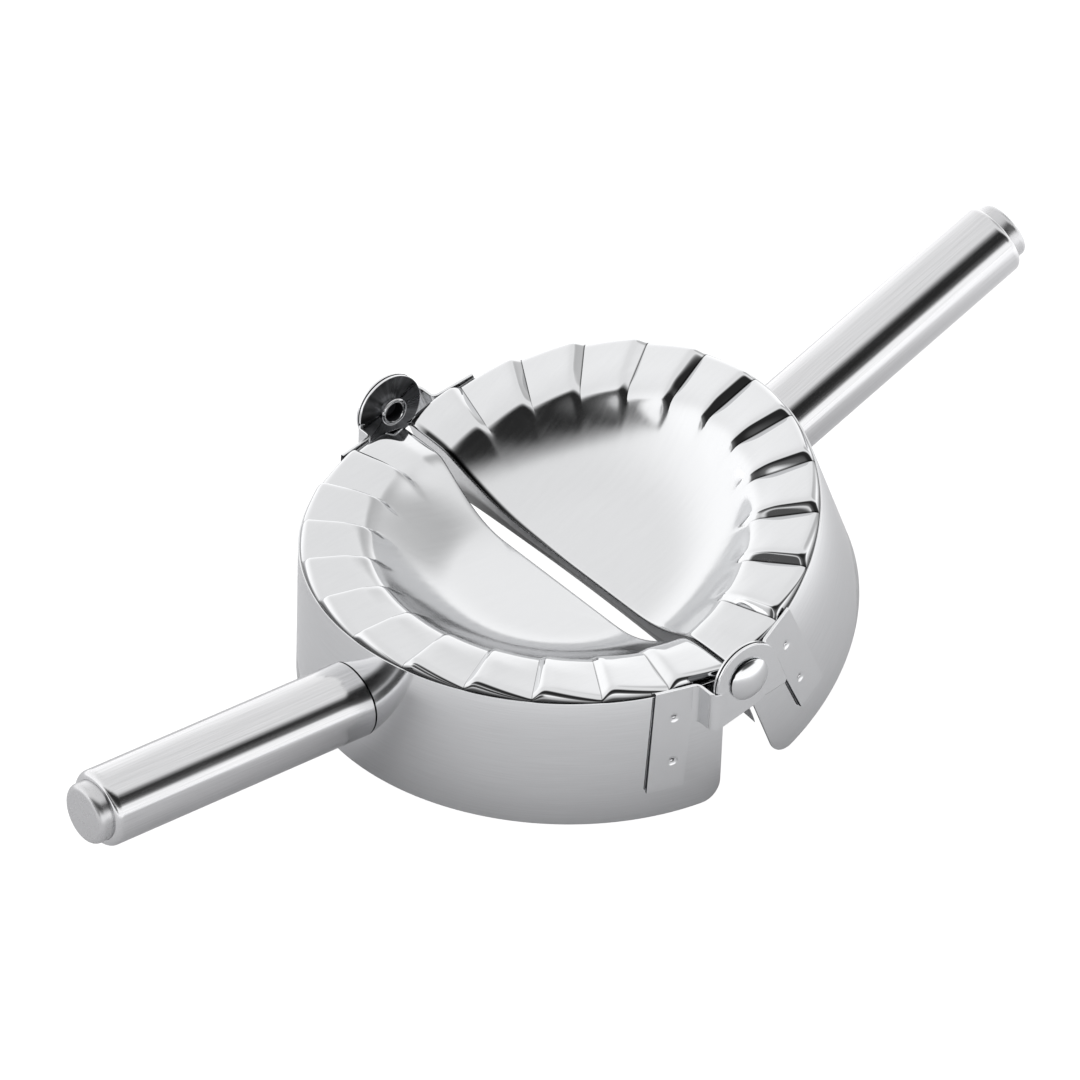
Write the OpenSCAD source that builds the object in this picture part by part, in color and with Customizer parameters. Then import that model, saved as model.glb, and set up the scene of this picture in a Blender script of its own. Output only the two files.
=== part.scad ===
// Hand press for filled half-moon pastries, in stainless sheet.
// Two half-round forms meet along a straight cut, where two rivets carry the hinge.
// The near half stands on its skirt and the far half is raised about the hinge axis.
// X runs along the handles, Y along the hinge axis and Z up.
// The origin lies on the resting surface, below the middle of the hinge axis.

/* [Forms] */
// Radius of the forms at their rim
form_r = 63.5; // [55:0.5:75]
// Thickness of the form sheet
form_t = 0.5; // [0.4:0.1:1.2]
// Number of pleats on each half
pleats = 12; // [8:1:16]
// Height of a pleat's ridge above its crease
pleat_rise = 2.4; // [1:0.1:3]
// Width over which a form's rim rolls down to its skirt
rim_roll = 2.2; // [1.5:0.1:3]
// Drop of the rolled rim below the creases
rim_drop = 1.1; // [0.8:0.1:2]
// Width of the pleated border
border_w = 16; // [12:0.5:20]
// Depth of the filling bowl below the creases
bowl_depth = 11; // [6:0.5:15]
// Run of the bowl's sloping wall
bowl_wall_w = 25; // [18:1:30]
// Drop of the cut flange below the hinge axis at mid length
flange_drop = 22; // [18:0.5:26]
// Extra drop of the cut flange at its two ends
flange_end_extra = 3.5; // [0:0.5:6]
// Lean of the cut flange away from the hinge axis at mid length
flange_lean = 1; // [0:0.1:2]
// Distance from the hinge axis to each form's cut face
form_cut = 0.2; // [0.2:0.1:1.5]
// Gap between the ridges of the two forms when the press is shut
close_gap = 0.3; // [0.2:0.1:2]

/* [Skirts] */
// Height of the hinge axis above the resting surface
hinge_h = 38; // [34:0.5:50]
// Thickness of the skirt sheet
skirt_t = 0.7; // [0.5:0.1:1.5]
// How far the skirt's outer face stands out past a form's rim
skirt_step = 0.3; // [0:0.1:0.4]
// Distance from the hinge axis to each skirt's cut edge
skirt_cut = 1.3; // [0.8:0.1:3]
// Radius of the skirt's lower corners at the cut
skirt_corner_r = 5; // [2:0.5:8]

/* [Handles] */
// Depth of the handle's middle line below the hinge axis
handle_drop = 20.5; // [19:0.1:23]
// Outer diameter of the grip tube
tube_d = 19; // [16:0.5:21]
// Wall of the grip tube
tube_wall = 1.2; // [0.8:0.1:1.6]
// Length of the handle from the skirt to the tube's outer end
handle_len = 74.5; // [50:0.5:120]
// Open joint between the skirt and the tube's shaped end
joint_gap = 0.3; // [0.1:0.1:0.6]
// Radius rolled on the tube's outer end
tube_end_r = 1.9; // [1.3:0.1:2.2]
// How far the end cap stands out of the tube
cap_proud = 3.6; // [2:0.1:6]
// Radius on the end cap's edge
cap_edge_r = 1.6; // [0.5:0.1:2]
// Length of the end cap's shoulder inside the tube
cap_shoulder_len = 5; // [3:0.5:10]
// Length of the plug inside the tube
plug_len = 30; // [18:0.5:40]
// Diameter of the handle screw
screw_d = 5; // [4:0.5:6]
// Diameter of the handle screw's head
screw_head_d = 9.5; // [8:0.5:12]
// Height of the handle screw's head
screw_head_h = 3; // [2:0.5:5]
// Length of thread in the plug
screw_grip_len = 12; // [8:0.5:16]

/* [Hinge] */
// Thickness of the hinge leaves
leaf_t = 0.8; // [0.7:0.1:1.5]
// Radius of the hinge ears
ear_r = 9.2; // [8:0.1:11]
// Distance from the forms' rim to the inner ear
ear_stand = 5.1; // [3.2:0.1:6]
// Gap between the two ears of a hinge
ear_gap = 0.15; // [0.1:0.05:0.4]
// Width of a leaf's plate on the skirt
plate_w = 10.5; // [9:0.5:16]
// Depth of a leaf's upper edge below the hinge axis
leaf_top_drop = 1.3; // [0.4:0.1:2]
// Drop of a leaf's plate below the hinge axis
plate_drop = 30; // [25:0.5:32]
// Shift of a plate's lower end away from the hinge
plate_lean = 1.3; // [0:0.1:3]
// Slope of the lower edge of a leaf's tab
tab_slope = 14; // [8:1:20]
// Depth of a spot weld's dent in the leaf
weld_dent = 0.35; // [0.1:0.05:0.6]
// Distance between a leaf's two spot welds
weld_pitch = 12.6; // [8:0.1:18]
// Diameter of the rivet's shank
rivet_d = 5.8; // [4:0.1:7]
// Diameter of the rivet's domed head
rivet_head_d = 11; // [9:0.5:14]
// Height of the rivet's domed head
rivet_head_h = 2.6; // [1.5:0.1:4]
// Height of the straight edge below the head's dome
rivet_edge_h = 0.7; // [0.4:0.1:1.4]
// Diameter of the rivet's flared tail
rivet_tail_d = 7.5; // [7.2:0.1:9]
// Height of the rivet's flared tail
rivet_tail_h = 1.9; // [0.8:0.1:2.2]

/* [Pose] */
// Angle by which the far half is raised from lying flat
open_angle = 23.4; // [0:0.1:60]

/* [Hidden] */
$fn = 96;

polished = [0.86, 0.87, 0.88];
brushed = [0.70, 0.71, 0.72];
satin = [0.76, 0.77, 0.78];
dark_steel = [0.52, 0.53, 0.54];

// Clearances
seat_gap = 0.02;
slide_gap = 0.05;
side_gap = 0.15;
past = 1;

// Pleats: each rises steeply over a share of its pitch and falls gently to the next crease.
// The first one at the back is lower, and the last one ends part of the way down.
pitch = 180 / pleats;
rise_share = 0.14;
first_rise_share = 0.45;
first_peak = 0.5;
last_tail = 0.45;
ridge_softness = 0.3;

function rise_of(k) = k == 0 ? first_rise_share : rise_share;
function peak_of(k) = k == 0 ? first_peak : 1;
function tail_of(k) = k == pleats - 1 ? last_tail : 0;
function lesser(a, b, soft) = let (h = min(1, max(0, (1 + (b - a) / soft) / 2)))
    b + (a - b) * h - soft * h * (1 - h);
function wave(k, u) = peak_of(k) * lesser(
    u / rise_of(k),
    1 - (1 - tail_of(k)) * (u - rise_of(k)) / (1 - rise_of(k)),
    ridge_softness
);
function wave_at(s) = let (k = min(pleats - 1, floor(s / pitch))) wave(k, s / pitch - k);
function stops(k) = let (a = rise_of(k)) [0, a / 2, a, a * 3 / 2, a * 2, (1 + a * 2) / 2];
stations = concat(
    [for (k = [0 : pleats - 1], u = stops(k)) [(k + u) * pitch, wave(k, u)]],
    [[180, wave(pleats - 1, 1)]]
);
station_count = len(stations);

// The two forms are alike, so when shut each ridge meets the opposite form turned about.
// The creases lie far enough below the hinge axis for the pleats to meet with the gap.
meeting = max([for (s = stations) s[1] + wave_at(180 - s[0])]);
crease_drop = (pleat_rise * meeting + close_gap) / 2;
rim_z = -crease_drop - rim_drop;

// Forms: rows of the sheet from the rim inwards, each with its radius and its angle of roll
inner_r = form_r - border_w;
roll_r = form_r - rim_roll;
border_steps = 4;
fade_share = 0.3;
wall_steps = 8;
roll_angles = [90, 65, 40, 20];
flange_row = 2;
rows = concat(
    [for (a = roll_angles) [roll_r, a]],
    [for (i = [0 : border_steps]) [roll_r + (inner_r - roll_r) * i / border_steps, 0]],
    [for (i = [1 : wall_steps]) [inner_r - bowl_wall_w * i / wall_steps, 0]],
    [[(inner_r - bowl_wall_w) / 2, 0]]
);
row_count = len(rows);

function pleat_share(r) = min(1, max(0, ((r - inner_r) / border_w + fade_share) / (2 * fade_share)));
function bowl_fall(r) = bowl_depth * sin(90 * min(1, max(0, inner_r - r) / bowl_wall_w));
function face_z(r, w) = pleat_rise * w * pleat_share(r) - crease_drop - bowl_fall(r);
function row_r(row, t) = row[0] + (rim_roll - t) * sin(row[1]);
function row_z(row, w, t) = row[1] == 0
    ? face_z(row[0], w) - t
    : rim_z + (face_z(row[0], w) - t - rim_z) * cos(row[1]);
function turned(r, s, cut) = let (a = asin(cut / r)) a + (180 - 2 * a) * s / 180;
function sheet_point(row, s, w, cut, t) = let (r = row_r(row, t), a = turned(r, s, cut))
    [-r * sin(a), r * cos(a), row_z(row, w, t)];
function flange_z(y) = -flange_drop - flange_end_extra * pow(y / form_r, 2);
function flange_point(y, cut) = [-cut - flange_lean * (1 - pow(y / form_r, 2)), y, flange_z(y)];

// Skirts and handles
skirt_r = form_r + skirt_step;
skirt_in_r = skirt_r - skirt_t;
tube_r = tube_d / 2;
bore_r = tube_r - tube_wall;
tube_start_x = sqrt(pow(skirt_r, 2) - pow(tube_r, 2));
tube_end_x = skirt_r + handle_len;
lip_r = tube_r - tube_end_r;
cap_r = lip_r - slide_gap;
plug_r = bore_r - slide_gap;
plug_end_x = skirt_r + plug_len;
thread_r = screw_d / 2 + slide_gap;
thread_end_x = skirt_r + screw_grip_len;

// Hinge leaves and rivets, measured out from the hinge axis
tab_top = -leaf_top_drop;
jog_x = ear_r + side_gap;
plate_x = jog_x + leaf_t;
plate_face = skirt_r + seat_gap;
leaf_turn = asin((plate_x + plate_w / 2) / plate_face);
inner_ear_y = form_r + ear_stand;
outer_ear_y = inner_ear_y + leaf_t + ear_gap;
tangent_x = ear_r * sin(tab_slope);
tangent_z = -ear_r * cos(tab_slope);
weld_r = 3;
hole_r = rivet_d / 2 + slide_gap;
tail_bore_r = 2.4;
tail_bore_h = 3;

function quad(a, b, c, d) = [[a, b, c], [a, c, d]];
function joined(lists) = [for (l = lists) for (f = l) f];

// Each half is drawn about the hinge axis with its handle towards -X
module near_half() {
    translate([0, 0, hinge_h]) children();
}

module far_half() {
    translate([0, 0, hinge_h]) rotate([0, -open_angle, 0]) rotate([0, 0, 180]) children();
}

// A body turned about the handle's middle line, with the height of its profile along -X
module along_handle() {
    translate([0, 0, -handle_drop]) rotate([0, -90, 0]) rotate_extrude() children();
}

// One pressed sheet: pleated border, bowl and the flange along the straight cut
module form_sheet() {
    n = station_count;
    last = n - 1;
    m = row_count - 1;
    half = row_count * n;
    pole_z = face_z(0, 0);
    in_cut = form_cut + form_t;
    edge_ys = [for (i = [flange_row : m]) row_r(rows[i], 0)];
    cut_ys = concat(edge_ys, [0], [for (i = [len(edge_ys) - 1 : -1 : 0]) -edge_ys[i]]);
    count = len(cut_ys);
    top_pole = 2 * half;
    under_pole = top_pole + 1;
    hem = under_pole + 1;
    inner_hem = hem + count;
    points = concat(
        [for (row = rows, s = stations) sheet_point(row, s[0], s[1], form_cut, 0)],
        [for (row = rows, s = stations) sheet_point(row, s[0], s[1], in_cut, form_t)],
        [[-form_cut, 0, pole_z], [-in_cut, 0, pole_z - form_t]],
        [for (y = cut_ys) flange_point(y, form_cut)],
        [for (y = cut_ys) flange_point(y, in_cut)]
    );
    top_line = concat(
        [for (i = [flange_row : m]) i * n], [top_pole], [for (i = [m : -1 : flange_row]) i * n + last]
    );
    under_line = concat(
        [for (i = [flange_row : m]) half + i * n],
        [under_pole],
        [for (i = [m : -1 : flange_row]) half + i * n + last]
    );
    skin = [for (i = [0 : m - 1], j = [0 : last - 1])
        quad(i * n + j, (i + 1) * n + j, (i + 1) * n + j + 1, i * n + j + 1)];
    under = [for (i = [0 : m - 1], j = [0 : last - 1])
        quad(half + i * n + j, half + i * n + j + 1, half + (i + 1) * n + j + 1, half + (i + 1) * n + j)];
    middle = [for (j = [0 : last - 1]) [
        [m * n + j, top_pole, m * n + j + 1],
        [half + m * n + j, half + m * n + j + 1, under_pole]
    ]];
    rim = [for (j = [0 : last - 1]) quad(j, j + 1, half + j + 1, half + j)];
    corners = [for (i = [0 : flange_row - 1]) concat(
        quad(i * n, half + i * n, half + (i + 1) * n, (i + 1) * n),
        quad(i * n + last, (i + 1) * n + last, half + (i + 1) * n + last, half + i * n + last)
    )];
    flange = [for (i = [0 : count - 2]) concat(
        quad(top_line[i], hem + i, hem + i + 1, top_line[i + 1]),
        quad(under_line[i], under_line[i + 1], inner_hem + i + 1, inner_hem + i),
        quad(hem + i, inner_hem + i, inner_hem + i + 1, hem + i + 1)
    )];
    ends = [
        quad(top_line[0], under_line[0], inner_hem, hem),
        quad(top_line[count - 1], hem + count - 1, inner_hem + count - 1, under_line[count - 1])
    ];
    polyhedron(
        points = points,
        faces = joined(concat(skin, under, middle, rim, corners, flange, ends)),
        convexity = 6
    );
}

// Half ring under a form, with rounded lower corners and a hole for the handle screw
module skirt_ring() {
    height = hinge_h + rim_z - seat_gap;
    span = skirt_r + past;
    difference() {
        translate([0, 0, -hinge_h]) cylinder(r = skirt_r, h = height, $fn = 192);
        translate([0, 0, -hinge_h - past]) cylinder(r = skirt_in_r, h = height + 2 * past, $fn = 192);
        translate([-skirt_cut, -span, -hinge_h - past])
            cube([span + skirt_cut, 2 * span, height + 2 * past]);
        lower_corners();
        translate([-span, 0, -handle_drop])
            rotate([0, 90, 0]) cylinder(r = thread_r, h = span / 2);
    }
}

// What is cut away to round the skirt's two lower corners
module lower_corners() {
    span = skirt_r + past;
    difference() {
        translate([-skirt_cut - skirt_corner_r, -span, -hinge_h - past])
            cube([skirt_corner_r + past, 2 * span, skirt_corner_r + past]);
        translate([-skirt_cut - skirt_corner_r, span + past, skirt_corner_r - hinge_h])
            rotate([90, 0, 0]) cylinder(r = skirt_corner_r, h = 2 * (span + past));
    }
}

// What the skirt and the air behind its outer face take from a piece of the handle
module skirt_body(gap) {
    translate([0, 0, -hinge_h]) cylinder(r = skirt_r + gap, h = hinge_h, $fn = 192);
}

// Plug inside the tube, shaped to the skirt and tapped for the handle screw
module handle_plug() {
    difference() {
        along_handle() translate([0, tube_start_x - past]) square([plug_r, plug_end_x - tube_start_x + past]);
        skirt_body(seat_gap);
        along_handle() square([thread_r, thread_end_x + slide_gap]);
    }
}

// Pan-headed screw from inside the skirt into the plug
module handle_screw() {
    seat_x = sqrt(pow(skirt_in_r, 2) - pow(screw_head_d / 2, 2)) - seat_gap;
    along_handle() {
        translate([0, seat_x - screw_head_h]) square([screw_head_d / 2, screw_head_h]);
        translate([0, seat_x - past]) square([screw_d / 2, thread_end_x - seat_x + past]);
    }
}

// Grip tube, shaped to the skirt, with its outer end rolled in to a lip
module grip_tube() {
    straight = tube_end_x - tube_end_r - tube_start_x + past;
    difference() {
        along_handle() difference() {
            union() {
                translate([0, tube_start_x - past]) square([tube_r, straight]);
                translate([0, tube_end_x - 2 * tube_end_r]) square([lip_r, 2 * tube_end_r]);
                translate([lip_r, tube_end_x - tube_end_r]) circle(r = tube_end_r);
            }
            translate([-past, 0]) square([past + bore_r, tube_end_x - tube_end_r]);
            translate([-past, 0]) square([past + lip_r, tube_end_x + past]);
        }
        skirt_body(joint_gap);
    }
}

// End cap: a shoulder behind the tube's lip and a stepped disc in front of it
module end_cap() {
    face_x = tube_end_x + cap_proud;
    shoulder_x = tube_end_x - tube_end_r - slide_gap;
    along_handle() {
        translate([0, shoulder_x - cap_shoulder_len]) square([plug_r, cap_shoulder_len]);
        translate([0, shoulder_x - past]) square([cap_r, face_x - cap_edge_r - shoulder_x + past]);
        translate([0, face_x - past]) square([cap_r - cap_edge_r, past]);
        translate([cap_r - cap_edge_r, face_x - cap_edge_r]) circle(r = cap_edge_r);
    }
}

// Side outline of a leaf: plate, sloping tab and round ear, with the ear about the origin
module leaf_side() {
    tab_z = tangent_z - (plate_x + tangent_x) * tan(tab_slope);
    polygon([[0, 0], [0, tab_top], [-plate_x, tab_top], [-plate_x, tab_z], [tangent_x, tangent_z]]);
    circle(r = ear_r);
    polygon([
        [-plate_x, tab_top], [-plate_x - plate_w, tab_top],
        [-plate_x - plate_w - plate_lean, -plate_drop], [-plate_x - plate_lean, -plate_drop]
    ]);
}

// Plan of a leaf's sheet: plate against the skirt, step outwards and ear beside the axis
module leaf_plan(ear_y) {
    reach = plate_w / 2 + leaf_t;
    plate_y = plate_face / cos(leaf_turn) - jog_x * tan(leaf_turn);
    translate([-jog_x - leaf_t, -ear_y - leaf_t]) square([leaf_t, ear_y + leaf_t - plate_y]);
    translate([-jog_x - leaf_t, -ear_y - leaf_t]) square([jog_x + leaf_t + ear_r, leaf_t]);
    outer_end = -plate_w / 2 - plate_lean - leaf_t;
    rotate(-leaf_turn) translate([outer_end, -plate_face - leaf_t])
        square([reach - outer_end, leaf_t]);
}

// Front leaf of the near half, with its ear's inner face at ear_y
module hinge_leaf(ear_y) {
    mid = (tab_top - plate_drop) / 2;
    difference() {
        intersection() {
            translate([0, 0, -hinge_h]) linear_extrude(2 * hinge_h) leaf_plan(ear_y);
            rotate([90, 0, 0]) linear_extrude(2 * form_r) leaf_side();
        }
        rotate([90, 0, 0]) cylinder(r = hole_r, h = 2 * form_r);
        for (k = [-1, 1])
            rotate(-leaf_turn)
                translate([0, -plate_face - leaf_t - weld_r + weld_dent, mid + k * weld_pitch / 2])
                    sphere(r = weld_r);
    }
}

// Front rivet: domed head outside the ears, shank through both, hollow flared tail
module hinge_rivet() {
    head_r = rivet_head_d / 2;
    dome_h = rivet_head_h - rivet_edge_h;
    dome_r = (head_r * head_r + dome_h * dome_h) / (2 * dome_h);
    head_y = outer_ear_y + leaf_t + seat_gap;
    tail_y = inner_ear_y - seat_gap;
    translate([0, 0, hinge_h]) rotate([90, 0, 0]) difference() {
        union() {
            intersection() {
                translate([0, 0, head_y + rivet_head_h - dome_r]) sphere(r = dome_r);
                translate([0, 0, head_y]) cylinder(r = head_r, h = rivet_head_h + past);
            }
            translate([0, 0, tail_y - rivet_tail_h])
                cylinder(r = rivet_d / 2, h = head_y + past / 2 - tail_y + rivet_tail_h);
            translate([0, 0, tail_y - rivet_tail_h]) cylinder(r = rivet_tail_d / 2, h = rivet_tail_h);
        }
        translate([0, 0, tail_y - rivet_tail_h - past]) cylinder(r = tail_bore_r, h = tail_bore_h + past);
    }
}

module near_form() {
    color(polished) near_half() form_sheet();
}

module far_form() {
    color(polished) far_half() form_sheet();
}

module near_skirt() {
    color(brushed) near_half() skirt_ring();
}

module far_skirt() {
    color(brushed) far_half() skirt_ring();
}

module near_grip_tube() {
    color(brushed) near_half() grip_tube();
}

module far_grip_tube() {
    color(brushed) far_half() grip_tube();
}

module near_end_cap() {
    color(satin) near_half() end_cap();
}

module far_end_cap() {
    color(satin) far_half() end_cap();
}

module near_handle_plug() {
    color(dark_steel) near_half() handle_plug();
}

module far_handle_plug() {
    color(dark_steel) far_half() handle_plug();
}

module near_handle_screw() {
    color(dark_steel) near_half() handle_screw();
}

module far_handle_screw() {
    color(dark_steel) far_half() handle_screw();
}

module front_near_leaf() {
    color(satin) near_half() hinge_leaf(outer_ear_y);
}

module front_far_leaf() {
    color(satin) far_half() mirror([0, 1, 0]) hinge_leaf(inner_ear_y);
}

module back_near_leaf() {
    color(satin) near_half() mirror([0, 1, 0]) hinge_leaf(inner_ear_y);
}

module back_far_leaf() {
    color(satin) far_half() hinge_leaf(outer_ear_y);
}

module front_rivet() {
    color(polished) hinge_rivet();
}

module back_rivet() {
    color(polished) mirror([0, 1, 0]) hinge_rivet();
}

near_form();
far_form();
near_skirt();
far_skirt();
near_grip_tube();
far_grip_tube();
near_end_cap();
far_end_cap();
near_handle_plug();
far_handle_plug();
near_handle_screw();
far_handle_screw();
front_near_leaf();
front_far_leaf();
back_near_leaf();
back_far_leaf();
front_rivet();
back_rivet();
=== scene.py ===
# Hand press for filled half-moon pastries, opened part way on a pale floor.
# Lengths are written in millimetres and made metres by MM.

import math

import bmesh
import bpy
from mathutils import Matrix, Vector


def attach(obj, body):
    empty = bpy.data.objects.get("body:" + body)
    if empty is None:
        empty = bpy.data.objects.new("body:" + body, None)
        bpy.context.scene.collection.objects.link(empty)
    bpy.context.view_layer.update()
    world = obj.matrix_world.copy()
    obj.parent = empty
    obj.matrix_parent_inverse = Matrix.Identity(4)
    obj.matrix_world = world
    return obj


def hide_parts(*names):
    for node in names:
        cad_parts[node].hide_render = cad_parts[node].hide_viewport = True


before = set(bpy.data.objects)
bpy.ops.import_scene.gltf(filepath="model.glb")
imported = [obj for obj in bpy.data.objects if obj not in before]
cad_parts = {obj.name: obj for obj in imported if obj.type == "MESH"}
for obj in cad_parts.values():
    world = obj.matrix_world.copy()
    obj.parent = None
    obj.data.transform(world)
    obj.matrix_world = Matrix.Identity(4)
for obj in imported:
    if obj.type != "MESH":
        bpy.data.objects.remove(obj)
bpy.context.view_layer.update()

MM = 0.001

# Two places closer than this are one place
SAME = 0.01 * MM

# The hinge axis runs along Y at this height, and the far half is raised about it
HINGE_H = 38 * MM
OPEN_ANGLE = math.radians(23.4)

# Pressed forms: heights are from the hinge axis, radii from the upright middle line
FORM_R = 63.5 * MM
FORM_T = 0.5 * MM
FORM_CUT = 0.2 * MM
PLEATS = 12
PITCH = 180 / PLEATS
PLEAT_RISE = 2.4 * MM
CREASE_Z = -1.59 * MM
RIM_Z = -2.69 * MM
ROLL_R = 61.3 * MM
INNER_R = 47.5 * MM
FLOOR_R = 20 * MM
BOWL_DEPTH = 11 * MM
BOWL_WALL = 25 * MM
FLANGE_R = 62.7 * MM
FLANGE_DROP = 22 * MM
FLANGE_END = 3.5 * MM
FLANGE_LEAN = 1 * MM
FLANGE_STEP = 3 * MM
FLANGE_BEND = 0.9 * MM

# Skirts
SKIRT_R = 63.8 * MM
SKIRT_T = 0.7 * MM
SKIRT_CUT = 1.3 * MM
SKIRT_CORNER = 5 * MM
SKIRT_TOP = RIM_Z - 0.02 * MM
SKIRT_BAND = 8 * MM


# Work at the bench: one piece at a time, with its places picked out by where they lie


def clear_bench():
    if bpy.context.mode != "OBJECT":
        bpy.ops.object.mode_set(mode="OBJECT")
    bpy.ops.object.select_all(action="DESELECT")


def take_up(piece):
    clear_bench()
    bpy.context.view_layer.objects.active = piece
    piece.select_set(True)


def open_mesh(piece):
    take_up(piece)
    bpy.ops.object.mode_set(mode="EDIT")


def close_mesh():
    bpy.ops.object.mode_set(mode="OBJECT")


def fix_place(piece):
    take_up(piece)
    bpy.ops.object.transform_apply(location=True, rotation=True, scale=True)


def start_ring(name, sides, radius, place, fill="NOTHING", upright=False):
    """Begins a piece as a ring, and leaves its mesh open."""
    clear_bench()
    bpy.ops.mesh.primitive_circle_add(
        vertices=sides, radius=radius, fill_type=fill, location=place,
        rotation=(math.pi / 2 if upright else 0, 0, 0),
    )
    piece = bpy.context.object
    piece.name = piece.data.name = name
    fix_place(piece)
    bpy.ops.object.mode_set(mode="EDIT")
    return piece


def pick_points(piece, test):
    bpy.ops.mesh.select_mode(type="VERT")
    mesh = bmesh.from_edit_mesh(piece.data)
    for v in mesh.verts:
        v.select = test(v.co)
    mesh.select_flush_mode()
    bmesh.update_edit_mesh(piece.data)


def pick_edges(piece, test):
    bpy.ops.mesh.select_mode(type="EDGE")
    mesh = bmesh.from_edit_mesh(piece.data)
    for e in mesh.edges:
        e.select = test(e)
    mesh.select_flush_mode()
    bmesh.update_edit_mesh(piece.data)


def pick_faces(piece, test):
    """Picks faces by test(face, its middle)."""
    bpy.ops.mesh.select_mode(type="FACE")
    mesh = bmesh.from_edit_mesh(piece.data)
    for f in mesh.faces:
        f.select_set(test(f, f.calc_center_median()))
    bmesh.update_edit_mesh(piece.data)


def move_point(piece, place, step):
    """Moves the one point of a piece that lies at a place."""
    pick_points(piece, lambda co: (co - place).length < SAME)
    bpy.ops.transform.translate(value=step)


def face_out(piece, outward):
    """Turns all faces one way, to the side where outward(face) sums to more than nothing."""
    bpy.ops.mesh.select_all(action="SELECT")
    bpy.ops.mesh.normals_make_consistent(inside=False)
    mesh = bmesh.from_edit_mesh(piece.data)
    if sum(outward(f) for f in mesh.faces) < 0:
        bpy.ops.mesh.flip_normals()


def thicken(piece, thickness, even=True):
    """Gives a sheet its thickness, inwards from the face that was drawn."""
    sheet = piece.modifiers.new("sheet", "SOLIDIFY")
    sheet.thickness = thickness
    sheet.offset = -1
    sheet.use_even_offset = even


def ease_edges(piece, width):
    eased = piece.modifiers.new("eased", "BEVEL")
    eased.width = width
    eased.segments = 2
    eased.limit_method = "ANGLE"
    eased.angle_limit = math.radians(50)


def finish_modifiers(piece):
    take_up(piece)
    for m in list(piece.modifiers):
        bpy.ops.object.modifier_apply(modifier=m.name)


def smooth(piece, degrees):
    take_up(piece)
    bpy.ops.object.shade_smooth_by_angle(angle=math.radians(degrees))


def to_half(piece, half):
    """Carries a piece drawn about the hinge axis, handle towards -X, to its half of the press."""
    if half == "far_half":
        piece.matrix_world = (
            Matrix.Translation((0, 0, HINGE_H))
            @ Matrix.Rotation(-OPEN_ANGLE, 4, "Y")
            @ Matrix.Rotation(math.pi, 4, "Z")
        )
    else:
        piece.matrix_world = Matrix.Translation((0, 0, HINGE_H))
    fix_place(piece)


def twin(piece, name):
    take_up(piece)
    bpy.ops.object.duplicate(linked=False)
    copy = bpy.context.view_layer.objects.active
    copy.name = name
    copy.data.name = name
    return copy


def flip_over(piece):
    """Turns a front piece into its back twin."""
    open_mesh(piece)
    bpy.ops.mesh.select_all(action="SELECT")
    bpy.ops.transform.resize(value=(1, -1, 1), center_override=(0, 0, 0))
    bpy.ops.mesh.flip_normals()
    close_mesh()


def wear(piece, finish):
    piece.data.materials.clear()
    piece.data.materials.append(finish)


# Steps that finishes are worked out in


def new_finish(name):
    m = bpy.data.materials.new(name)
    m.use_nodes = True
    tree = m.node_tree
    shader = tree.nodes["Principled BSDF"]
    return m, tree, shader


def plug_in(tree, sockets, values):
    """Sets each socket to its number, or links it to what it follows."""
    for socket, value in zip(sockets, values):
        if isinstance(value, (int, float)):
            socket.default_value = value
        elif value is not None:
            tree.links.new(value, socket)


def math_node(tree, kind, a, b=None):
    step = tree.nodes.new("ShaderNodeMath")
    step.operation = kind
    plug_in(tree, step.inputs, (a, b))
    return step.outputs["Value"]


def times(tree, a, b):
    return math_node(tree, "MULTIPLY", a, b)


def span(tree, value, low, high, at_low, at_high, kind="LINEAR"):
    """Goes from at_low to at_high while value goes from low to high."""
    ramp = tree.nodes.new("ShaderNodeMapRange")
    ramp.interpolation_type = kind
    names = ("Value", "From Min", "From Max", "To Min", "To Max")
    sockets = [ramp.inputs[name] for name in names]
    plug_in(tree, sockets, (value, low, high, at_low, at_high))
    return ramp.outputs["Result"]


def fade(tree, value, low, high, at_low, at_high):
    """The same with soft ends."""
    return span(tree, value, low, high, at_low, at_high, "SMOOTHSTEP")


def split_xyz(tree, place):
    parts = tree.nodes.new("ShaderNodeSeparateXYZ")
    tree.links.new(place, parts.inputs["Vector"])
    return parts.outputs


def join_xyz(tree, x, y, z):
    joined = tree.nodes.new("ShaderNodeCombineXYZ")
    plug_in(tree, joined.inputs, (x, y, z))
    return joined.outputs["Vector"]


def half_place(tree, half):
    """Coordinates as drawn: about the hinge axis, with the handle towards -X."""
    coords = tree.nodes.new("ShaderNodeTexCoord")
    down = tree.nodes.new("ShaderNodeVectorMath")
    down.operation = "SUBTRACT"
    down.inputs[1].default_value = (0, 0, HINGE_H)
    tree.links.new(coords.outputs["Object"], down.inputs[0])
    if half == "near":
        return down.outputs["Vector"]
    turn = tree.nodes.new("ShaderNodeMapping")
    turn.inputs["Rotation"].default_value = (0, OPEN_ANGLE, -math.pi)
    tree.links.new(down.outputs["Vector"], turn.inputs["Vector"])
    return turn.outputs["Vector"]


def polar(tree, place):
    """Distance from the upright middle line, turn about it and height."""
    x, y, z = split_xyz(tree, place)
    r = math_node(tree, "SQRT", math_node(tree, "ADD", times(tree, x, x), times(tree, y, y)))
    return r, math_node(tree, "ARCTAN2", y, math_node(tree, "ABSOLUTE", x)), z


def grain_of(tree, place, stretch, detail=4):
    """Fine noise, drawn out along the way of the brush where the stretch is small."""
    turn = tree.nodes.new("ShaderNodeMapping")
    turn.inputs["Scale"].default_value = stretch
    tree.links.new(place, turn.inputs["Vector"])
    grain = tree.nodes.new("ShaderNodeTexNoise")
    grain.inputs["Scale"].default_value = 1 / MM
    grain.inputs["Detail"].default_value = detail
    grain.inputs["Roughness"].default_value = 0.6
    tree.links.new(turn.outputs["Vector"], grain.inputs["Vector"])
    return grain.outputs["Fac"]


# Finishes

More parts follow.
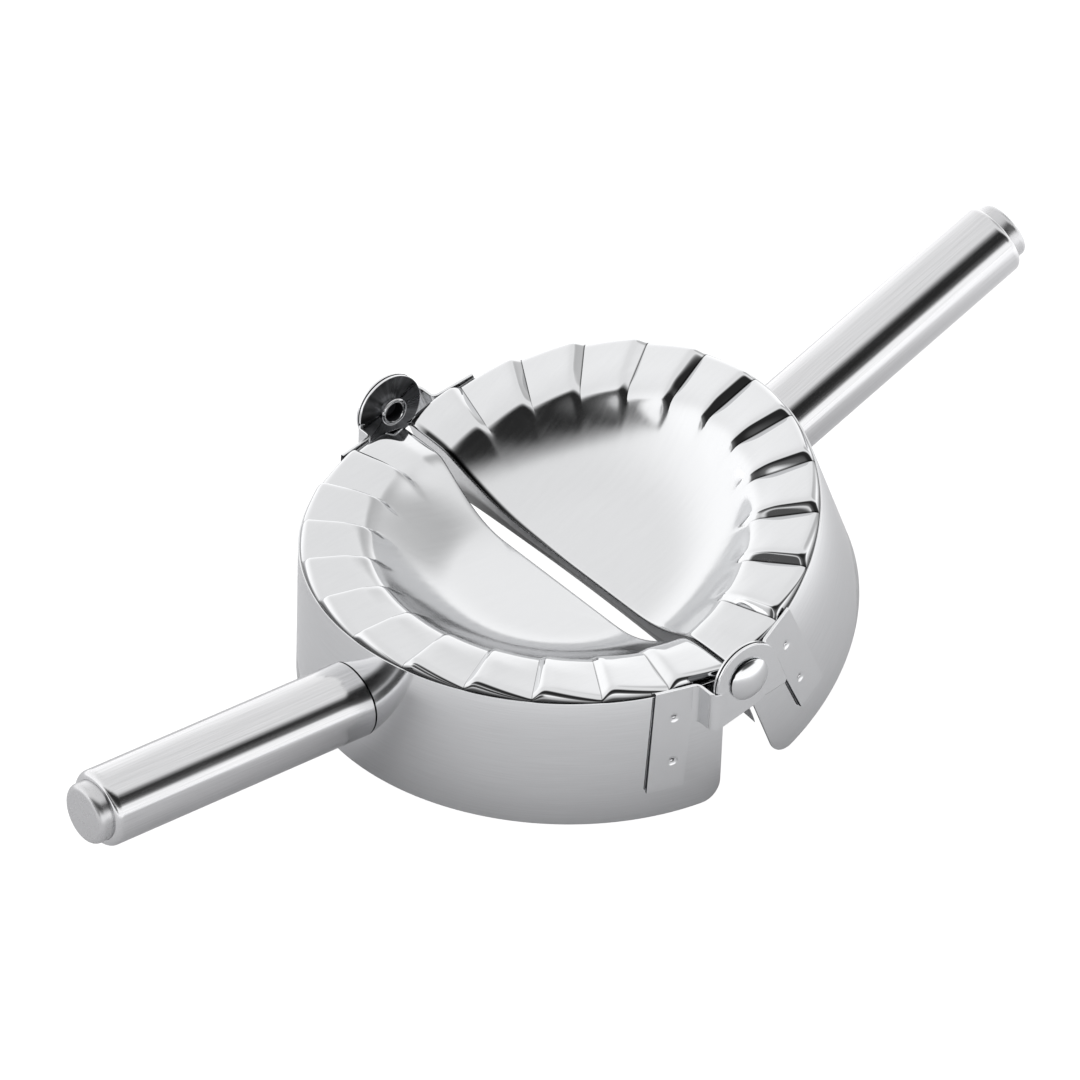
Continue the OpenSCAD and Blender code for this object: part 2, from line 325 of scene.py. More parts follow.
# The part of the grain's noise that counts, from its low to its high end
GRAIN = (0.25, 0.75)


def steel(name, half, tone, shine, grain, tone_mix, shine_mix=0.0, shade=None):
    """Bright steel whose tone and shine follow the grain of the brush.

    Shine is the roughness at the grain's low and high end, or a function that gives it by
    place, and the grain then varies it by the share shine_mix.
    """
    m, tree, shader = new_finish(name)
    shader.inputs["Metallic"].default_value = 1.0
    place = half_place(tree, half)
    fac = grain(tree, place)
    value = span(tree, fac, *GRAIN, 1 - tone_mix, 1 + tone_mix)
    if shade:
        value = times(tree, value, shade(tree, place))
    colour = tree.nodes.new("ShaderNodeVectorMath")
    colour.operation = "SCALE"
    colour.inputs[0].default_value = tone
    tree.links.new(value, colour.inputs["Scale"])
    tree.links.new(colour.outputs["Vector"], shader.inputs["Base Color"])
    if callable(shine):
        mix = span(tree, fac, *GRAIN, 1 - shine_mix, 1 + shine_mix)
        rough = times(tree, shine(tree, place), mix)
    else:
        rough = span(tree, fac, *GRAIN, *shine)
    tree.links.new(rough, shader.inputs["Roughness"])
    return m


# Roughness of the forms' bowl and pleats, and the radii that it changes between
BOWL_SHINE = 0.15
PLEAT_SHINE = 0.045
SHINE_CHANGE = (40 * MM, 54 * MM)

# Painted shade lines of the forms: at the rim where it meets the skirt, with what it leaves of the
# tone, the painted shade line at the foot of each pleat and the radii that it starts between, and
# the painted shade line along the near form's cut
RIM_SHADE = (63.05 * MM, 63.4 * MM)
RIM_SHADE_TONE = 0.12
FOOT_SHADE_SPAN = (0.1 * MM, 0.32 * MM)
FOOT_SHADE = {"near": 0.6, "far": 0.85}
FOOT_SHADE_START = (46 * MM, 50 * MM)
NEAR_CUT_SHADE_SPAN = (0.4 * MM, 0.7 * MM)
NEAR_CUT_SHADE = 0.6

# The far form's painted shade line begins just inside its edge, narrows from one end of the cut to
# the middle, is full over this share of its width, and stops short of the rim
FAR_CUT_EDGE = (0.4 * MM, 0.55 * MM)
FAR_CUT_RUN = (-46 * MM, 0.0)
FAR_CUT_WIDTHS = (2.1 * MM, 0.7 * MM)
FAR_CUT_FULL = 0.55
FAR_CUT_STOP = (55 * MM, 60 * MM)
FAR_CUT_SHADE = 0.96


def form_finish(half):
    """Mirror-bright pleats, and a bowl left softer by the press and lightly brushed."""

    def grain(tree, place):
        return grain_of(tree, place, (0.12, 0.9, 0.12))

    def softness(tree, place):
        r, _, _ = polar(tree, place)
        return fade(tree, r, *SHINE_CHANGE, BOWL_SHINE, PLEAT_SHINE)

    def painted_shade_lines(tree, place):
        """Fine lines of painted shade: where the rim meets the skirt, at the foot of each pleat
        and along the cut.
        """
        r, turn, _ = polar(tree, place)
        rim = span(tree, r, *RIM_SHADE, 1.0, RIM_SHADE_TONE)
        pitch = math.radians(PITCH)
        past = math_node(tree, "FRACT", times(tree, turn, -1 / pitch))
        past = times(tree, times(tree, past, pitch), r)
        foot = times(
            tree,
            span(tree, past, *FOOT_SHADE_SPAN, FOOT_SHADE[half], 0.0),
            span(tree, r, *FOOT_SHADE_START, 0.0, 1.0),
        )
        x, y, _ = split_xyz(tree, place)
        depth = times(tree, x, -1.0)
        if half == "near":
            cut = span(tree, depth, *NEAR_CUT_SHADE_SPAN, NEAR_CUT_SHADE, 0.0)
        else:
            width = fade(tree, y, *FAR_CUT_RUN, *FAR_CUT_WIDTHS)
            cut = times(
                tree,
                fade(tree, depth, times(tree, width, FAR_CUT_FULL), width, 1.0, 0.0),
                span(tree, depth, *FAR_CUT_EDGE, 0.0, 1.0),
            )
            cut = times(tree, cut, span(tree, r, *FAR_CUT_STOP, FAR_CUT_SHADE, 0.0))
        shade = times(tree, rim, math_node(tree, "SUBTRACT", 1.0, foot))
        return times(tree, shade, math_node(tree, "SUBTRACT", 1.0, cut))

    return steel(half + "_form_polish_and_painted_shade", half, (0.70, 0.705, 0.715), softness, grain,
                 0.015, 0.25, painted_shade_lines)


# Run of the skirts' grain for each radian round the wall, short so that it is drawn out
BRUSH_ROUND = 4 * MM


def skirt_finish(half):
    """Wall brushed round, with a clear mirror under the brushing."""

    def grain(tree, place):
        _, turn, z = polar(tree, place)
        wrap = join_xyz(tree, times(tree, turn, BRUSH_ROUND), 0.0, z)
        return grain_of(tree, wrap, (1.0, 1.0, 3.0))

    return steel(half + "_skirt_brush", half, (0.72, 0.725, 0.735), (0.05, 0.10), grain, 0.05)


def tube_finish(half):
    """Handle tube, brushed along."""

    def grain(tree, place):
        return grain_of(tree, place, (0.05, 4.0, 4.0), 3)

    return steel(half + "_tube_brush", half, (0.66, 0.66, 0.67), (0.10, 0.19), grain, 0.10)


def leaf_finish(half):
    """Satin sheet, brushed level."""

    def grain(tree, place):
        return grain_of(tree, place, (0.25, 0.25, 2.5), 3)

    return steel(half + "_leaf_satin", half, (0.76, 0.765, 0.775), (0.20, 0.26), grain, 0.015)


def ear_finish():
    """Inner face of the inner ears: painted shade, with painted streaks of reflection out from the
    rivet.
    """

    def grain(tree, place):
        x, _, z = split_xyz(tree, place)
        turn = math_node(tree, "ARCTAN2", z, x)
        wheel = join_xyz(tree, math_node(tree, "SINE", turn), math_node(tree, "COSINE", turn), 0.0)
        return grain_of(tree, wheel, (0.0022, 0.0022, 1.0), 3)

    return steel("ear_turned", "near", (0.13, 0.132, 0.137), (0.24, 0.34), grain, 0.9)


def plain_steel(name, half, tone, shine, tone_mix):
    """Steel with an even, fine grain."""

    def grain(tree, place):
        return grain_of(tree, place, (0.6, 0.6, 0.6))

    return steel(name, half, tone, shine, grain, tone_mix)


finishes = {}
for half in ("near", "far"):
    finishes[half] = {
        "form": form_finish(half),
        "skirt": skirt_finish(half),
        "tube": tube_finish(half),
        "cap": plain_steel(half + "_cap_satin", half, (0.60, 0.60, 0.61), (0.24, 0.34), 0.03),
        "leaf": leaf_finish(half),
        "plug": plain_steel(half + "_plug_turned", half, (0.60, 0.61, 0.62), (0.30, 0.42), 0.05),
        "screw": plain_steel(half + "_screw_plain", half, (0.62, 0.62, 0.63), (0.26, 0.36), 0.05),
    }
rivet_polish = plain_steel("rivet_polish", "near", (0.72, 0.725, 0.735), (0.07, 0.11), 0.02)
# Near-black painted shade for the leaves' sheared ends, crater walls and ear edges in the gap
# between the ears
painted_shade_edge = plain_steel("painted_shade_edge", "near", (0.035, 0.035, 0.04), (0.45, 0.6), 0.2)
# Painted shade with painted streaks of reflection for the inner ears' inner faces
ear_turned = ear_finish()
# Near-black painted shade under the rivets' heads and in their bores
recess_painted_shade = plain_steel("rivet_painted_shade", "near", (0.05, 0.05, 0.055), (0.5, 0.65), 0.2)

# The frame's own pieces take the finish that the last word of their name calls for, and the
# rivets their own
for node_name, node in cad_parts.items():
    half = "far" if "far" in node_name else "near"
    wear(node, finishes[half].get(node_name.split("_")[-1], rivet_polish))


# Pressed forms

# A pleat's steep face takes this share of its pitch. The first pleat is wide and low, and the
# last one meets the cut before it is all the way down
STEEP = 0.14
FIRST_STEEP = 0.45
FIRST_PEAK = 0.5
LAST_TAIL = 0.45
CREST_ROUND = 0.3

# The pleats fade in over this share of the border, on both sides of its inner edge
FADE_IN = 0.3

# Width of the pleated border, and radius of the rolled rim
BORDER = FORM_R - INNER_R
ROLL = FORM_R - ROLL_R

# Columns of a pleat, as shares of its pitch, and the same of the first pleat
COLUMNS = (0.0, 0.07, 0.14, 0.22, 0.38, 0.58, 0.76)
FIRST_COLUMNS = (0.0, 0.28, 0.36, 0.44, 0.55, 0.7, 0.85)
COUNT = len(COLUMNS)

# Rows of the sheet over the rolled rim, in degrees, across the border and down the bowl
RIM_ROWS = (72, 52, 34, 16)
BORDER_ROWS = 5
BOWL_ROWS = 8


def lesser(a, b, soft):
    """The lesser of two heights, rounded where they meet."""
    h = min(1, max(0, (1 + (b - a) / soft) / 2))
    return b + (a - b) * h - soft * h * (1 - h)


def pleat_wave(k, u):
    """Height of pleat k at the share u of its pitch, from one crease to the next."""
    rise = FIRST_STEEP if k == 0 else STEEP
    peak = FIRST_PEAK if k == 0 else 1
    tail = LAST_TAIL if k == PLEATS - 1 else 0
    return peak * lesser(u / rise, 1 - (1 - tail) * (u - rise) / (1 - rise), CREST_ROUND)


def turn_of(co):
    """Degrees from the back end of the cut round to a point of the near form."""
    return math.degrees(math.atan2(-co.x, co.y))


def bowl_fall(r):
    return BOWL_DEPTH * math.sin(math.pi / 2 * min(1, max(0, INNER_R - r) / BOWL_WALL))


def pleat_share(r):
    return min(1, max(0, ((r - INNER_R) / BORDER + FADE_IN) / (2 * FADE_IN)))


# Rows of the sheet from the rim inwards: radius, height at a crease, share of the pleats' rise
form_rows = [(FORM_R, RIM_Z, 0.0)]
for roll_angle in RIM_ROWS:
    a = math.radians(roll_angle)
    form_rows.append((
        ROLL_R + ROLL * math.sin(a),
        RIM_Z + (CREASE_Z - RIM_Z) * math.cos(a),
        math.cos(a),
    ))
for i in range(BORDER_ROWS + 1):
    r = ROLL_R + (INNER_R - ROLL_R) * i / BORDER_ROWS
    form_rows.append((r, CREASE_Z, pleat_share(r)))
for i in range(1, BOWL_ROWS + 1):
    r = INNER_R - BOWL_WALL * i / BOWL_ROWS
    form_rows.append((r, CREASE_Z - bowl_fall(r), pleat_share(r)))
form_rows.append((FLOOR_R, CREASE_Z - BOWL_DEPTH, 0.0))


def press_form():
    """One form, drawn about the hinge axis with its handle towards -X."""
    form = start_ring("near_pleated_form", 2 * PLEATS * COUNT, FORM_R, (0, 0, RIM_Z))
    bpy.ops.mesh.select_all(action="SELECT")
    r0, z0 = FORM_R, RIM_Z
    for r, z, share in form_rows[1:]:
        bpy.ops.mesh.extrude_region_move(TRANSFORM_OT_translate={"value": (0, 0, z - z0)})
        k = r / r0
        bpy.ops.transform.resize(value=(k, k, 1), center_override=(0, 0, z))
        r0, z0 = r, z

    # Keep the near half, close its floor and bring its edge to the cut
    pick_points(form, lambda co: co.x > 0.05 * MM)
    bpy.ops.mesh.delete(type="VERT")
    pick_points(form, lambda co: co.xy.length < FLOOR_R + 0.5 * MM)
    bpy.ops.mesh.edge_face_add()
    pick_edges(form, lambda e: abs(e.verts[0].co.x) < SAME and e.calc_length() > 30 * MM)
    bpy.ops.mesh.subdivide(number_cuts=9)
    pick_points(form, lambda co: abs(co.x) < SAME)
    bpy.ops.transform.translate(value=(-FORM_CUT, 0, 0))

    # Gather the columns at each steep face, then raise the pleats row by row
    step = PITCH / COUNT
    moves = [(0, c, FIRST_COLUMNS[c]) for c in range(COUNT - 1, 0, -1)]
    moves += [(k, c, COLUMNS[c]) for k in range(1, PLEATS) for c in range(1, COUNT)]
    for k, c, goal in moves:
        pick_points(form, lambda co: abs(turn_of(co) - k * PITCH - c * step) < 0.1 * step)
        bpy.ops.transform.rotate(
            value=math.radians(c * step - goal * PITCH), orient_axis="Z", center_override=(0, 0, 0)
        )
    columns = [(0, u) for u in FIRST_COLUMNS[1:]]
    columns += [(k, u) for k in range(1, PLEATS) for u in COLUMNS] + [(PLEATS - 1, 1.0)]
    for r, z, share in form_rows:
        for k, u in columns:
            height = PLEAT_RISE * share * pleat_wave(k, u)
            if height > 0.001 * MM:
                pick_points(
                    form,
                    lambda co: abs(co.xy.length - r) < 0.1 * MM
                    and abs(turn_of(co) - (k + u) * PITCH) < 0.4,
                )
                bpy.ops.transform.translate(value=(0, 0, height))

    # Crisp creases between the pleats
    def on_crease(e):
        turns = [turn_of(v.co) / PITCH for v in e.verts]
        return all(
            abs(t - round(t)) < 0.02 and 0 < round(t) < PLEATS for t in turns
        ) and min(v.co.xy.length for v in e.verts) > INNER_R - 4 * MM

    pick_edges(form, on_crease)
    bpy.ops.transform.edge_crease(value=1)

    # Flange turned down along the cut: a first row close under the edge keeps the bend
    # narrow, and the second goes down to the hem
    def at_cut(co):
        return abs(co.x + FORM_CUT) < SAME and co.xy.length < FLANGE_R

    pick_edges(form, lambda e: e.is_boundary and all(at_cut(v.co) for v in e.verts))
    for _ in range(2):
        bpy.ops.mesh.extrude_edges_move(TRANSFORM_OT_translate={"value": (0, 0, -FLANGE_STEP)})
    mesh = bmesh.from_edit_mesh(form.data)
    hem = [v.co.copy() for v in mesh.verts if v.select]
    for place in hem:
        bulge = (place.y / FORM_R) ** 2
        goal = (-FORM_CUT - FLANGE_LEAN * (1 - bulge), place.y, -FLANGE_DROP - FLANGE_END * bulge)
        move_point(form, place, Vector(goal) - place)
    pick_edges(
        form,
        lambda e: all(at_cut(v.co) for v in e.verts) and len(e.link_faces) == 2
        and abs(e.verts[0].co.y - e.verts[1].co.y) > 0.1 * MM
        and any(abs(f.normal.z) > 0.5 for f in e.link_faces),
    )
    bpy.ops.mesh.bevel(offset=FLANGE_BEND, segments=3)

    face_out(form, lambda f: f.normal.z * f.calc_area())
    close_mesh()
    thicken(form, FORM_T)
    rounds = form.modifiers.new("rounds", "SUBSURF")
    rounds.levels = rounds.render_levels = 2
    finish_modifiers(form)
    smooth(form, 18)
    return form


near_form = press_form()
far_form = twin(near_form, "far_pleated_form")
for form, half in ((near_form, "near_half"), (far_form, "far_half")):
    to_half(form, half)
    wear(form, finishes[half.split("_")[0]]["form"])
    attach(form, half)
    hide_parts(half.replace("half", "form"))


# Skirts

# Cuts near the wall's ends that carry the round of its lower corners
CORNER_CUTS = tuple(c * MM for c in (0.08, 0.25, 0.5, 1.3, 2.6, 4.0))


def roll_skirt():
    """One half-round wall with rounded lower corners, drawn about the hinge axis."""
    skirt = start_ring("near_rolled_skirt", 360, SKIRT_R, (0, 0, -HINGE_H))
    bpy.ops.mesh.select_all(action="SELECT")
    for rise in (SKIRT_BAND, SKIRT_TOP + HINGE_H - SKIRT_BAND):
        bpy.ops.mesh.extrude_region_move(TRANSFORM_OT_translate={"value": (0, 0, rise)})
    bpy.ops.mesh.select_all(action="SELECT")
    bpy.ops.mesh.bisect(plane_co=(-SKIRT_CUT, 0, 0), plane_no=(1, 0, 0), clear_outer=True)
    for extra in CORNER_CUTS:
        bpy.ops.mesh.select_all(action="SELECT")
        bpy.ops.mesh.bisect(plane_co=(-SKIRT_CUT - extra, 0, 0), plane_no=(1, 0, 0))
    mesh = bmesh.from_edit_mesh(skirt.data)
    low = [
        v.co.copy() for v in mesh.verts
        if v.co.z < -HINGE_H + 0.1 * MM and v.co.x > -SKIRT_CUT - SKIRT_CORNER
    ]
    for place in low:
        run = SKIRT_CORNER - (-SKIRT_CUT - place.x)
        lift = SKIRT_CORNER - math.sqrt(SKIRT_CORNER ** 2 - run ** 2)
        move_point(skirt, place, (0, 0, lift))
    face_out(skirt, lambda f: f.normal.dot(f.calc_center_median()))
    close_mesh()
    thicken(skirt, SKIRT_T, even=False)
    ease_edges(skirt, 0.12 * MM)
    finish_modifiers(skirt)
    smooth(skirt, 40)
    return skirt


near_skirt = roll_skirt()
far_skirt = twin(near_skirt, "far_rolled_skirt")
for skirt, half in ((near_skirt, "near_half"), (far_skirt, "far_half")):
    to_half(skirt, half)
    wear(skirt, finishes[half.split("_")[0]]["skirt"])
    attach(skirt, half)
    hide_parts(half.replace("half", "skirt"))


# Hinge leaves: an ear beside the axis, a step in to the skirt and a spot-welded plate
LEAF_T = 0.8 * MM
EAR_R = 9.2 * MM
HOLE_R = 2.95 * MM
INNER_EAR = 68.6 * MM
OUTER_EAR = 69.55 * MM
JOG_X = -10.15 * MM
LEAF_TOP = -1.3 * MM
TAB_FOOT = -12.0 * MM
PLATE_FOOT = -30 * MM
PLATE_TURN = math.radians(13.96)
PLATE_FACE = 64.62 * MM
PLATE_END = -5.25 * MM
PLATE_LEAN = 1.3 * MM
FOLD_R = 1.9 * MM
FOLD_REACH = 1.2 * MM

# The ear's edge between these degrees is drawn out to the tab, down this slope, and so many
# of its points stand up the tab's end
TAB_ARC = (187.5, 283.5)
TAB_SLOPE = math.radians(14)
TAB_SIDE = 10

# Spot welds: their heights, their place along the plate, and the radius and depth of the
# shallow dish and of the small crater in it
WELDS = (-9.35 * MM, -21.95 * MM)
WELD_ALONG = -0.1 * MM
WELD_DENTS = ((2.8 * MM, 0.32 * MM), (0.6 * MM, 0.56 * MM))


def on_plate(along, out=PLATE_FACE):
    """Plan position on a plate's outer face, measured along it from its middle."""
    c, s = math.cos(PLATE_TURN), math.sin(PLATE_TURN)
    return Vector((c * along - s * out, -s * along - c * out, 0))


def fold_path(ear_face):
    """Plan of the sheet from the ear to the plate's far end, with both folds rounded."""
    path = []
    for a in range(0, 91, 15):
        a = math.radians(a)
        path.append(Vector((
            JOG_X + FOLD_R * (1 - math.sin(a)),
            -ear_face + FOLD_R * (1 - math.cos(a)),
            0,
        )))
    along = (JOG_X + math.sin(PLATE_TURN) * PLATE_FACE) / math.cos(PLATE_TURN)
    corner = on_plate(along)
    side = corner - Vector((0, FOLD_REACH, 0))
    end = on_plate(along - FOLD_REACH)
    for t in (0.0, 0.17, 0.33, 0.5, 0.67, 0.83, 1.0):
        path.append((1 - t) ** 2 * side + 2 * t * (1 - t) * corner + t * t * end)
    path.append(on_plate(PLATE_END))
    return path


def press_leaf(name, ear_y):
    """Front leaf of the near half, drawn about the hinge axis."""
    face = ear_y + LEAF_T
    leaf = start_ring(name, 120, HOLE_R, (0, -face, 0), upright=True)

    # The whole ring is picked by its edges, because the piece before may have left faces as
    # what is picked, and a bare ring has none to draw out
    pick_edges(leaf, lambda e: True)
    bpy.ops.mesh.extrude_region_move(TRANSFORM_OT_translate={"value": (0, 0, 0)})
    k = EAR_R / HOLE_R
    bpy.ops.transform.resize(value=(k, 1, k), center_override=(0, -face, 0))

    # Draw the ear's lower left out to the tab
    left = JOG_X + FOLD_R
    tangent = Vector((EAR_R * math.sin(TAB_SLOPE), 0, -EAR_R * math.cos(TAB_SLOPE)))
    low_z = tangent.z + (left - tangent.x) * math.tan(TAB_SLOPE)
    mesh = bmesh.from_edit_mesh(leaf.data)
    ring = []
    for v in mesh.verts:
        a = math.degrees(math.atan2(v.co.z, v.co.x)) % 360
        if v.co.xz.length > EAR_R - 0.1 * MM and TAB_ARC[0] < a < TAB_ARC[1]:
            ring.append((a, v.co.copy()))
    ring.sort(key=lambda pair: pair[0])
    side_z = [LEAF_TOP + (low_z - LEAF_TOP) * i / (TAB_SIDE - 1) for i in range(TAB_SIDE)]
    for i, (a, place) in enumerate(ring):
        if i < TAB_SIDE:
            goal = Vector((left, -face, side_z[i]))
        else:
            t = (i - TAB_SIDE + 1) / (len(ring) - TAB_SIDE + 1)
            goal = Vector((left + (tangent.x - left) * t, -face, low_z + (tangent.z - low_z) * t))
        move_point(leaf, place, goal - place)

    # Fold the sheet in to the skirt and along it
    pick_edges(
        leaf, lambda e: e.is_boundary and all(abs(v.co.x - left) < SAME for v in e.verts)
    )
    path = fold_path(face)
    for here, there in zip(path, path[1:]):
        bpy.ops.mesh.extrude_edges_move(TRANSFORM_OT_translate={"value": there - here})
    start, end = path[-2], path[-1]

    # Lower part of the plate
    pick_edges(
        leaf,
        lambda e: e.is_boundary and all(v.co.x < start.x + SAME for v in e.verts)
        and all(v.co.z < low_z + 0.3 * MM for v in e.verts)
        and abs(e.verts[0].co.x - e.verts[1].co.x) > 5 * MM,
    )
    bpy.ops.mesh.extrude_edges_move(TRANSFORM_OT_translate={"value": (0, 0, PLATE_FOOT - low_z)})

    # The plate's far end leans out along the skirt, the more the lower it is
    lean = on_plate(-PLATE_LEAN) - on_plate(0)
    bpy.ops.transform.translate(value=lean)
    for z in side_z[1:]:
        pick_points(leaf, lambda co: co.x < end.x + SAME and abs(co.z - z) < 0.1 * MM)
        bpy.ops.transform.translate(value=lean * (LEAF_TOP - z) / (LEAF_TOP - PLATE_FOOT))
    face_out(leaf, lambda f: -f.normal.y * f.calc_area())
    close_mesh()
    thicken(leaf, LEAF_T)
    ease_edges(leaf, 0.16 * MM)
    finish_modifiers(leaf)

    # Spot welds: a shallow dish with a small crater, each cut with a ball
    for z in WELDS:
        for size, sink in WELD_DENTS:
            place = on_plate(WELD_ALONG, PLATE_FACE + size - sink)
            bpy.ops.mesh.primitive_uv_sphere_add(
                segments=64, ring_count=48, radius=size, location=(place.x, place.y, z)
            )
            tool = bpy.context.object
            take_up(leaf)
            dent = leaf.modifiers.new("dent", "BOOLEAN")
            dent.operation = "DIFFERENCE"
            dent.solver = "EXACT"
            dent.object = tool
            finish_modifiers(leaf)
            bpy.data.objects.remove(tool)

    # The broad flat faces stay flat beside the rounded ones
    smooth(leaf, 22)
    open_mesh(leaf)
    pick_faces(leaf, lambda f, at: f.calc_area() > 2 * MM * MM)
    bpy.ops.mesh.faces_shade_flat()
    close_mesh()
    return leaf


def assign_picked(piece, slot):
    piece.active_material_index = slot
    bpy.ops.object.material_slot_assign()


def dress_leaf(leaf, half, inner):
    """Bright faces. The sheared ends, the welds' craters and the ears' edges in the gap
    between them get near-black painted shade, and an inner ear's inner face gets painted shade
    with painted streaks of reflection."""
    weld = on_plate(WELD_ALONG)
    gap_side = -1 if inner else 1
    wear(leaf, finishes[half]["leaf"])
    leaf.data.materials.append(painted_shade_edge)
    open_mesh(leaf)

    # Painted shade on the sheared ends of the plate and of the step, for the gap beside the skirt
    pick_faces(leaf, lambda f, at: abs(f.normal.x) > 0.6 and at.x < JOG_X + 1.0 * MM
               and (at.x < -19 * MM or at.z < TAB_FOOT))
    assign_picked(leaf, 1)

    # Painted shade on the upper walls of the craters
    pick_faces(leaf, lambda f, at: f.normal.z < -0.15
               and (at.xy - weld.xy).length < 0.7 * MM
               and min(abs(at.z - z) for z in WELDS) < 0.62 * MM)
    assign_picked(leaf, 1)

    # Painted shade on the eased edge of the ear on its partner's side, for the gap between the
    # ears
    pick_faces(leaf, lambda f, at: 0.25 < gap_side * f.normal.y < 0.95
               and at.x > JOG_X + FOLD_R and at.xz.length > EAR_R - 0.3 * MM)
    assign_picked(leaf, 1)
    # The inner ear's inner face gets painted shade with painted streaks of reflection
    if inner:
        leaf.data.materials.append(ear_turned)
        pick_faces(leaf, lambda f, at: f.normal.y > 0.9 and at.x > JOG_X)
        assign_picked(leaf, 2)
    close_mesh()


outer_leaf = press_leaf("front_near_pressed_leaf", OUTER_EAR)
inner_leaf = press_leaf("front_far_pressed_leaf", INNER_EAR)

# Each leaf with its half. All are drawn in front. The near half's back leaf is turned over,
# and so is the far half's front one, which the half turn would take to the back. These two
# are also the ones with inner ears
leaves = (
    (outer_leaf, "near", False),
    (inner_leaf, "far", True),
    (twin(inner_leaf, "back_near_pressed_leaf"), "near", True),
    (twin(outer_leaf, "back_far_pressed_leaf"), "far", False),
)
for leaf, half, inner in leaves:
    dress_leaf(leaf, half, inner)
    if inner:
        flip_over(leaf)
    to_half(leaf, half + "_half")
    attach(leaf, half + "_half")
    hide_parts(leaf.name.replace("_pressed", ""))


# Rivets: distance out from the middle of the press and radius, from the tail's bore to the head
RIVET_LINE = (
    (69.68, 2.1), (69.55, 2.35), (67.35, 2.4), (66.95, 2.62), (66.7, 3.0), (66.68, 3.3),
    (66.8, 3.6), (67.1, 3.74), (67.5, 3.66), (68.0, 3.45), (68.58, 3.3), (68.58, 2.9),
    (70.37, 2.9), (70.37, 4.6), (70.65, 4.7), (70.75, 5.2), (70.86, 5.43), (70.96, 5.5),
    (71.07, 5.42), (71.22, 5.2), (71.47, 4.9), (71.79, 4.4), (72.1, 3.8), (72.39, 3.1),
    (72.65, 2.3), (72.82, 1.5), (72.92, 0.7),
)


def in_recess(at):
    """The ground under the head, and the bore in the tail, which get painted shade."""
    out, r = -at.y, at.xz.length
    ground = 70.3 * MM < out < 70.8 * MM and r > 4.5 * MM
    bore = out < 70 * MM and r < 2.52 * MM
    return ground or bore


def turn_rivet():
    d, r = RIVET_LINE[0]
    rivet = start_ring("front_turned_rivet", 96, r * MM, (0, -d * MM, 0), "NGON", upright=True)
    pick_edges(rivet, lambda e: True)
    for d1, r1 in RIVET_LINE[1:]:
        bpy.ops.mesh.extrude_edges_move(TRANSFORM_OT_translate={"value": (0, (d - d1) * MM, 0)})
        k = r1 / r
        bpy.ops.transform.resize(value=(k, 1, k), center_override=(0, -d1 * MM, 0))
        d, r = d1, r1
    bpy.ops.mesh.edge_face_add()
    bpy.ops.mesh.select_all(action="SELECT")
    bpy.ops.mesh.normals_make_consistent(inside=False)
    close_mesh()
    smooth(rivet, 45)
    wear(rivet, rivet_polish)
    rivet.data.materials.append(recess_painted_shade)
    open_mesh(rivet)
    # Near-black painted shade under the head and in the bore
    pick_faces(rivet, lambda f, at: in_recess(at))
    assign_picked(rivet, 1)
    close_mesh()
    return rivet


front_rivet = turn_rivet()
back_rivet = twin(front_rivet, "back_turned_rivet")
flip_over(back_rivet)
for rivet in (front_rivet, back_rivet):
    to_half(rivet, "near_half")
    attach(rivet, "near_half")
    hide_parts(rivet.name.replace("_turned", ""))


# Floor, light and camera

# The floor's size in metres, and how far it lies under the skirts' feet
FLOOR_SIZE = 40
FLOOR_DROP = 0.2 * MM

# As the steel mirrors it, the floor is dim under the press and glows between these radii,
# from nothing to its full glow
FLOOR_GLOW_RADII = (110 * MM, 460 * MM)
FLOOR_GLOW = 0.8

# The camera: its sensor and lens in millimetres, its place and the depth that it sees in
# metres, and in degrees its turn about the upright, its height above the level and its roll
CAMERA_SENSOR = 36
CAMERA_LENS = 260.39
CAMERA_PLACE = (-0.9813, -1.1884, 1.1177)
CAMERA_DEPTH = (0.05, 60)
CAMERA_ANGLES = (-39.3427, 35.0284, 2.037)


def lay_floor():
    """White to the eye, and a shade darker in what the steel mirrors."""
    clear_bench()
    bpy.ops.mesh.primitive_plane_add(size=FLOOR_SIZE, location=(0, 0, -FLOOR_DROP))
    floor = bpy.context.object
    floor.name = floor.data.name = "floor"
    fix_place(floor)
    m, tree, shader = new_finish("floor_white")
    shader.inputs["Roughness"].default_value = 0.9
    shader.inputs["Specular IOR Level"].default_value = 0.0
    seen = tree.nodes.new("ShaderNodeLightPath").outputs["Is Camera Ray"]
    tone = tree.nodes.new("ShaderNodeMix")
    tone.data_type = "RGBA"
    tone.inputs["A"].default_value = (0.86, 0.86, 0.87, 1)
    tone.inputs["B"].default_value = (0.2, 0.2, 0.2, 1)
    tree.links.new(seen, tone.inputs["Factor"])
    tree.links.new(tone.outputs["Result"], shader.inputs["Base Color"])
    shader.inputs["Emission Color"].default_value = (1, 1, 1, 1)
    coords = tree.nodes.new("ShaderNodeTexCoord")
    away = tree.nodes.new("ShaderNodeVectorMath")
    away.operation = "LENGTH"
    tree.links.new(coords.outputs["Object"], away.inputs[0])
    glow = fade(tree, away.outputs["Value"], *FLOOR_GLOW_RADII, 0.0, FLOOR_GLOW)
    tree.links.new(math_node(tree, "MAXIMUM", glow, seen), shader.inputs["Emission Strength"])
    wear(floor, m)


